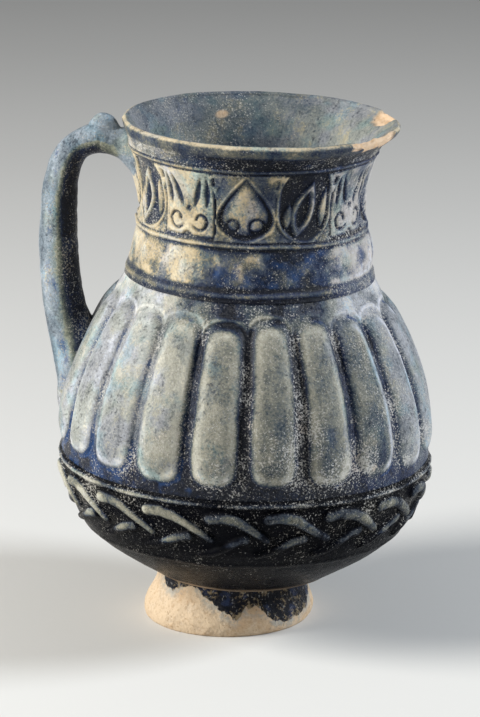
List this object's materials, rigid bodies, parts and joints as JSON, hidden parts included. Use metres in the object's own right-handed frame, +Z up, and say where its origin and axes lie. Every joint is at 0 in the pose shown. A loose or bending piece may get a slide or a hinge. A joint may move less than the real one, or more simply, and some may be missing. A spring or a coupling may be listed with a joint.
{
  "type": "ceramic pitcher",
  "caption": "Moulded ceramic pitcher with a lobed body, leaf frieze on the neck, flared mouth, rod handle with a thumb rest, and a low foot ring, for pouring liquids.",
  "frame": {"origin": "on the table the jug stands on, under the middle of its bounding box", "axes": "+Z up; the handle is towards -X and the pouring side towards +X; -Y is the side seen in the picture"},
  "size_m": [0.1472, 0.1413, 0.1928],
  "materials": {
    "bare_clay": "bare fired clay, matt, with glaze runs",
    "dark_glaze": "thick pooled cobalt glaze, weathered",
    "lobe_glaze": "cobalt glaze worn pale on the lobes",
    "frieze_glaze": "cobalt glaze worn to buff on the relief",
    "lip_glaze": "thin grey-blue glaze, worn at the lip",
    "handle_glaze": "cobalt glaze, weathered and streaked",
    "luting_clay": "smeared clay under thin glaze"
  },
  "bodies": {
    "root": {"foot_ring": "bare_clay", "lower_bowl": "dark_glaze", "fluted_body": "lobe_glaze", "neck": "frieze_glaze", "mouth": "lip_glaze", "handle": "handle_glaze", "thumb_rest": "handle_glaze", "belly_luting_coil": "luting_clay", "neck_luting_coil": "luting_clay"}
  },
  "joints": []
}
